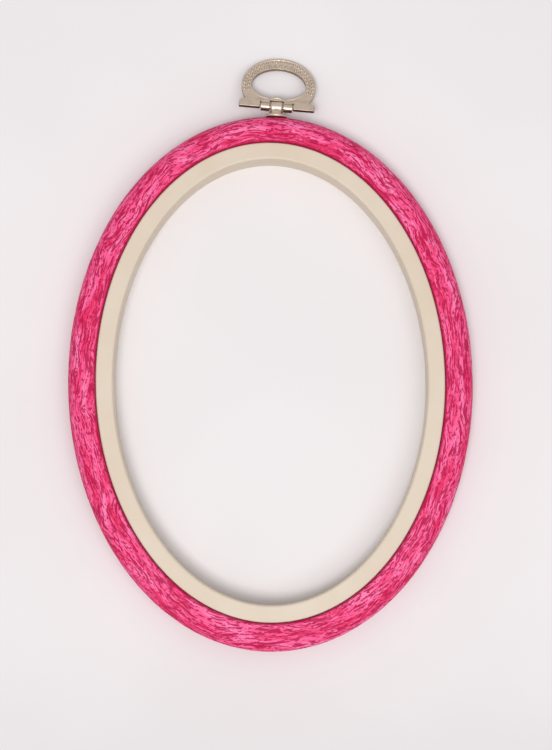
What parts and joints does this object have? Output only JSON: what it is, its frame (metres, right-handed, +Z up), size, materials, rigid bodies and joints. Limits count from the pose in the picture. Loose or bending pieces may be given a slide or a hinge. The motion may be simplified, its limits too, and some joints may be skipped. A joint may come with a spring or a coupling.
{
  "type": "embroidery hoop",
  "caption": "Oval press-on embroidery hoop: a rigid ring inside a soft half-round ring, with a small hinged arch-shaped hanger on a swivelling eye stud.",
  "frame": {"origin": "centre of the oval opening, on the plane that the hoop lies on", "axes": "+Y towards the hanger along the oval's long axis, +Z up out of the front face, +X to the right when the front is seen with the hanger at the top"},
  "size_m": [0.1178, 0.1755, 0.0105],
  "materials": {
    "cream_plastic": "satin moulded cream plastic",
    "pink_vinyl": "soft vinyl with a moulded wood grain, wiped with a darker pink",
    "nickel_plate": "polished warm nickel plate on a stamped part"
  },
  "bodies": {
    "rigid_ring": {"inner_ring": "cream_plastic"},
    "soft_ring": {"outer_ring": "pink_vinyl"},
    "stud": {"eye_stud": "nickel_plate", "stud_collar": "nickel_plate", "clinch_washer": "nickel_plate"},
    "hanger": {"hanger_bail": "nickel_plate", "hinge_pin": "nickel_plate"}
  },
  "joints": [
    {"name": "ring_lift", "type": "slide", "parent": "rigid_ring", "child": "soft_ring", "axis": [0, 0, 1], "range_m": [0, 0.012]},
    {"name": "stud_swivel", "type": "hinge", "parent": "soft_ring", "child": "stud", "pos_m": [0.00212, 0.06989, 0.00585], "axis": [0.0578, 0.9983, 0], "continuous": true},
    {"name": "hanger_swing", "type": "hinge", "parent": "stud", "child": "hanger", "pos_m": [0.00278, 0.08122, 0.00585], "axis": [0.9947, -0.103, 0], "range_deg": [-81.7, 118.3]}
  ]
}
